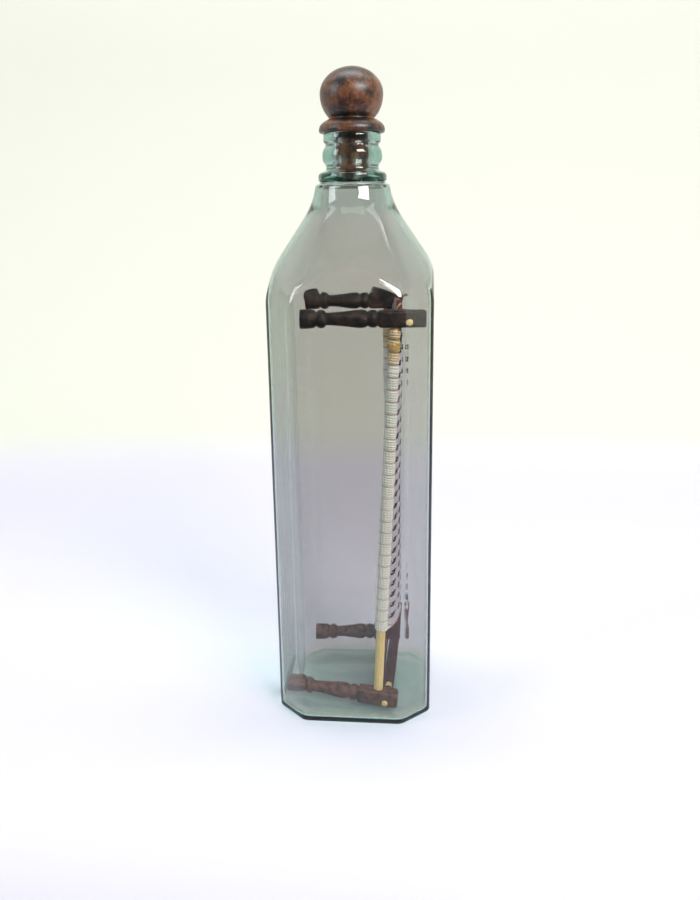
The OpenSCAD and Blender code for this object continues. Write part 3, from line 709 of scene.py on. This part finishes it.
for side, seed in (("near", 11), ("far", 23)):
    ends = rail_ends[side]
    climb = (ends[1] - ends[0]).length / (ends[1].z - ends[0].z)
    wrap_low, wrap_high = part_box("rail_wrap_" + side)
    low, high = ((z - ends[0].z) * climb for z in (wrap_low.z + 0.3 * MM, wrap_high.z - 0.5 * MM))
    band_low, band_high = ((c.z - ends[0].z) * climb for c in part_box("rail_band_" + side))
    wrap = Cords(8, seed)
    path = coil(ends, low, high, rail_r + 0.34 * MM, turn_pitch, steps=18, wobble=0.14 * MM, seed=seed,
        dip=lambda turn: 0.26 * MM * max(0, math.cos(2 * math.pi * (turn - brown_turn) / turns_in_row)) ** 3)
    wrap.lay(path, 0.58 * MM, off_line(ends), flat=0.86, strip=18 * 4)
    wrap.finished("cord_wrap_" + side, cream, "cream_cord", "rail_wrap_" + side)
    rows = Cords(6, seed + 1)
    place = low + brown_turn * turn_pitch
    while place < high - turn_pitch:
        thick = (0.13 + 0.15 * max(0, (place - low) / (high - low) * 2.4 - 1.4)) * MM
        rows.lay(coil(ends, place - 0.15 * MM, place + 0.25 * MM, rail_r + 0.58 * MM, 0.4 * MM, steps=24,
            wobble=0.2 * MM, seed=place * 900), thick, off_line(ends), strip=24)
        place += turns_in_row * turn_pitch
    rows.finished("row_turns_" + side, row_brown, "gold_cord")
    band = Cords(6, seed + 2)
    for shift in (0, 0.25 * MM):
        band.lay(coil(ends, band_low + 0.2 * MM + shift, band_high - 0.4 * MM + shift, rail_r + 0.78 * MM,
            0.5 * MM, steps=20, wobble=0.05 * MM, seed=seed), 0.24 * MM, off_line(ends), strip=20)
    band.finished("gold_band_" + side, gold, "gold_cord", "rail_band_" + side)


# ---------------------------------------------------------------------------
# The weave: silky lilac cords run from the head rail down to the end cord, and
# the same cord crosses them from rail to rail. In each row two black cords follow
# three lilac ones, and show on the outer side as short dashes. The loops round the
# head rail are maroon, with a few golden ones.
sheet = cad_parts["deck_weave"].data
sheet_tree = BVHTree.FromPolygons([v.co for v in sheet.vertices],
    [tuple(p.vertices) for p in sheet.polygons])
deck_low, deck_high = (corner.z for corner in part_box("deck_weave"))
deck_inset, deck_half_t = 3.16 * MM, 0.65 * MM


def deck_at(u, z):
    """The middle of the weave: u from 0 at the near rail to 1 at the far rail. It sags
    outwards from the plain sheet, more towards its lower edge."""
    near, far = (on_line(rail_ends[side], 2, z).y for side in ("near", "far"))
    y = near + deck_inset + (far - near - 2 * deck_inset) * u
    inside_y = min(max(y, near + deck_inset + 0.1 * MM), far - deck_inset - 0.1 * MM)
    inside_z = min(max(z, deck_low + 0.1 * MM), deck_high - 0.1 * MM)
    hit = sheet_tree.ray_cast(Vector((0.06, inside_y, inside_z)), Vector((-1, 0, 0)))[0]
    down = 1 - min(max((z - deck_low) / (deck_high - deck_low), 0.0), 1.0)
    sag = (1.2 + 2.9 * down ** 2) * MM
    loose = sag * max(0.0, math.sin(math.pi * min(max(u, 0.0), 1.0))) ** 0.7
    loose *= min(1.0, max(0.0, (deck_high - z) / (14 * MM)))
    return Vector((hit.x - deck_half_t + loose, y, z))


warps = 40
weave_amp, dash_amp, warp_r = 0.30 * MM, 0.55 * MM, 0.46 * MM
weft_rows = int((deck_high - deck_low) / turn_pitch)
wander = random.Random(5)


def slack(i, j):
    """Small shifts of a crossing, as hand-laid cord has."""
    spot = Vector((i * 0.33, j * 0.21, 4.0))
    return Vector((noise.noise(spot) * 0.10, noise.noise(spot + Vector((9, 0, 0))) * 0.28,
        noise.noise(spot + Vector((0, 9, 0))) * 0.30)) * MM


lilac = silky_cord("lilac_cord", (0.66, 0.58, 0.64), (0.48, 0.40, 0.47), (0.20, 0.15, 0.19), ply_mm=1.0,
    rough=0.42, soil=(0.50, 0.40, 0.42), soiled=(0.5, 0.75), dyed=(0.05, 0.012, 0.018),
    dyed_above=deck_high - 9 * MM)
black = silky_cord("black_cord", (0.020, 0.012, 0.018), (0.010, 0.006, 0.010), (0.003, 0.002, 0.003),
    ply_mm=0.9, rough=0.45, bump_mm=0.1, sheen=0.0, shine=0.15)
long_cords = Cords(6, 31)
head_ends = ends_of("head_rail", 1, 0.4 * MM)
loops, gold_loops = Cords(6, 37), Cords(6, 38)
loop_r = cross_rail_mm * MM + 0.42 * MM
for i in range(warps):
    u = (i + 0.5) / warps
    shade = wander.random()
    path = [deck_at(u, deck_low - 1.75 * MM) + Vector((0.55, 0, 0)) * MM]
    for j in range(weft_rows):
        z = deck_low + (j + 0.5) * turn_pitch
        over = weave_amp if (i + j) % 2 else -weave_amp
        path.append(deck_at(u, z) + slack(i, j) + Vector((over, 0, 0)))
        path.append(deck_at(u, z + turn_pitch / 2) + slack(i, j + 0.5))
    # Over the head rail and round it
    top = path[-1]
    rail = on_line(head_ends, 1, top.y)
    start_angle = math.pi * 1.08
    ring = [rail + Vector((math.cos(start_angle - a), 0, math.sin(start_angle - a))) * loop_r
        for a in (k * math.pi / 8 for k in range(16))]
    gap = ring[0] - top
    path += [top + gap * t + Vector((0, 0, 0.15 * MM * math.sin(math.pi * t))) for t in (0.35, 0.7)]
    long_cords.lay(path + ring[:4], warp_r, flat=0.75, shade=shade)
    golden = i % 13 in (4, 5)
    (gold_loops if golden else loops).lay(ring[3:], 0.50 * MM,
        lambda spot: spot - on_line(head_ends, 1, spot.y), flat=0.8, shade=shade)
long_cords.finished("weave_long_cords", lilac, "lilac_cord", "deck_weave")
maroon = silky_cord("maroon_cord", (0.12, 0.014, 0.022), (0.045, 0.007, 0.011), (0.006, 0.002, 0.003),
    ply_mm=0.8, rough=0.42, sheen=0.08, shine=0.2)
loops.finished("weave_head_loops", maroon, "maroon_cord", "head_rail_winding")
gold_loops.finished("golden_head_loops", gold, "gold_cord")

cross_cords, pattern = Cords(6, 41), Cords(6, 43)
for j in range(weft_rows):
    z = deck_low + (j + 0.5) * turn_pitch
    dark = j % turns_in_row in (3, 4)
    step = j % turns_in_row == 3
    axis = on_line(rail_ends["near"], 2, z)
    path = [axis + Vector((2.55, 1.25, -0.25)) * MM, axis + Vector((2.35, 2.35, -0.1)) * MM]
    for i in range(warps):
        u = (i + 0.5) / warps
        if dark:
            over, after = (dash_amp if (k + step) % 9 in (3, 4, 5) else -weave_amp * 1.1 for k in (i, i + 1))
        else:
            over = -weave_amp if (i + j) % 2 else weave_amp
            after = -over
        path.append(deck_at(u, z) + slack(i, j) + Vector((over, 0, 0)))
        if i < warps - 1:
            between = Vector(((over + after) / 2, 0, 0))
            path.append(deck_at(u + 0.5 / warps, z) + slack(i + 0.5, j) + between)
    axis = on_line(rail_ends["far"], 2, z)
    path += [axis + Vector((2.35, -2.35, -0.1)) * MM, axis + Vector((2.55, -1.25, -0.25)) * MM]
    (pattern if dark else cross_cords).lay(path, (0.55 if dark else 0.56) * MM, flat=0.6 if dark else 0.55)
cross_cords.finished("weave_cross_cords", lilac, "lilac_cord")
pattern.finished("weave_pattern_cords", black, "black_cord", "pattern_cords")


# ---------------------------------------------------------------------------
# The end cord: two thick plies of pinkish cream cord, twisted together, which
# gather the lower edge of the weave.
end_cream = silky_cord("end_cord", (0.78, 0.62, 0.56), (0.60, 0.45, 0.40), (0.25, 0.15, 0.13), ply_mm=0.9,
    rough=0.42)
end_cord = Cords(8, 53)
steps = 150
for half_turn in (0, math.pi):
    path = []
    for k in range(steps + 1):
        u = -0.045 + 1.09 * k / steps
        centre = deck_at(u, deck_low - 1.05 * MM)
        angle = 2 * math.pi * 11 * k / steps + half_turn
        path.append(centre + Vector((math.cos(angle) * 0.46, 0, math.sin(angle) * 0.46)) * MM)
    end_cord.lay(path, 0.50 * MM, strip=50)
end_cord.finished("twisted_end_cord", end_cream, "cream_cord", "weave_end_cord")


# ---------------------------------------------------------------------------
# Tension cords: two bundles of dark maroon cord. Each length hangs from the end
# cord in a loop, goes down to the foot rail, round it and back, and pulls the
# weave tight. Loose ends are wound along the foot rail and end in a knot.
foot_ends = ends_of("foot_rail", 1, 0.4 * MM)
foot_r = cross_rail_mm * MM
tension_r = 0.34 * MM
for side, from_u, to_u, seed in (("near", 0.03, 0.46, 61), ("far", 0.54, 0.97, 67)):
    bundle = Cords(6, seed)
    pick = random.Random(seed)
    count = 24
    low_y = [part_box("tension_cords_" + side)[n].y for n in (0, 1)]
    for k in range(count):
        share = (k + 0.5 + pick.uniform(-0.3, 0.3)) / count
        high = deck_at(from_u + (to_u - from_u) * share, deck_low - 1.9 * MM)
        rail = on_line(foot_ends, 1, low_y[0] + (low_y[1] - low_y[0]) * (0.04 + 0.92 * share))
        out = 1 if k % 2 else -1
        depth = out * pick.uniform(0.15, 0.62) * MM
        hold = foot_r + 0.5 * MM
        bottom = [rail + Vector((math.cos(a) * hold * out, 0, math.sin(a) * hold))
            for a in (0.3, -0.3, -0.9, -1.5)]
        start = high + Vector((depth + 0.5 * MM * out, 0, 0.9 * MM))
        path = [high + Vector((0.3 * MM * out, 0, 1.9 * MM)), start]
        end = bottom[0]
        sway = Vector((pick.uniform(-0.3, 0.3), pick.uniform(-1, 1), 0)) * MM
        for n in range(1, 12):
            t = n / 12
            spot = start.lerp(end, t) + sway * math.sin(math.pi * t)
            spot.x += depth * math.sin(math.pi * t)
            path.append(spot)
        bundle.lay(path + bottom, tension_r * pick.uniform(0.85, 1.15))
    bundle.finished("tension_bundle_" + side, maroon, "maroon_cord", "tension_cords_" + side)

winding = Cords(6, 71)
winding_low, winding_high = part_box("foot_rail_winding")
rail_length = (foot_ends[1] - foot_ends[0]).length
stretch = rail_length / (foot_ends[1].y - foot_ends[0].y)
start, end = ((y - foot_ends[0].y) * stretch for y in (winding_low.y + 0.4 * MM, winding_high.y - 0.4 * MM))
parting = (start + end) / 2
for a, b in ((start, parting - 0.6 * MM), (parting + 0.6 * MM, end)):
    turns = coil(foot_ends, a, b, foot_r + 0.40 * MM, 0.78 * MM, steps=16, wobble=0.12 * MM, seed=a * 700)
    winding.lay(turns, 0.38 * MM, off_line(foot_ends), strip=16 * 4)
winding.finished("foot_rail_turns", maroon, "maroon_cord", "foot_rail_winding")

knot_low, knot_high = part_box("corner_knot")
knot_place = ((knot_low.y + knot_high.y) / 2 - foot_ends[0].y) * stretch
along = (foot_ends[1] - foot_ends[0]).normalized()
across = along.cross(Vector((1, 0, 0))).normalized()
upward = across.cross(along)
knot_centre = foot_ends[0] + along * knot_place
knot = Cords(8, 73)
path = []
for k in range(121):
    angle = 2 * math.pi * k / 120
    around, weave_angle = 2 * angle, 3 * angle
    reach = foot_r + (0.62 + 0.22 * math.cos(weave_angle)) * MM
    path.append(knot_centre + along * (0.72 * MM * math.sin(weave_angle))
        + across * (math.cos(around) * reach) + upward * (math.sin(around) * reach))
knot.lay(path, 0.42 * MM, lambda spot: spot - knot_centre, strip=60)
knot.finished("corner_turk_knot", maroon, "maroon_cord", "corner_knot")

# The lashing on the far head leg: three square turns of maroon cord
block_start, block_end = ends_of("leg_head_far", 0, 1.5 * MM)
along = (block_end - block_start).normalized()
level = Vector((0, 0, 1)).cross(along).normalized()
upward = along.cross(level)
lashing = Cords(8, 79)
path = []
for k in range(3 * 40 + 1):
    angle = 2 * math.pi * k / 40
    c, s = math.cos(angle), math.sin(angle)
    reach = (3.9 + 0.42) * MM / (abs(c) ** 8 + abs(s) ** 8) ** (1 / 8)
    centre = block_end - along * (0.85 + 0.74 * k / 40) * MM
    path.append(centre + level * (c * reach) + upward * (s * reach))
lashing.lay(path, 0.38 * MM, lambda spot: spot - block_end, strip=40)
lashing.finished("leg_lashing_turns", maroon, "maroon_cord", "leg_lashing")
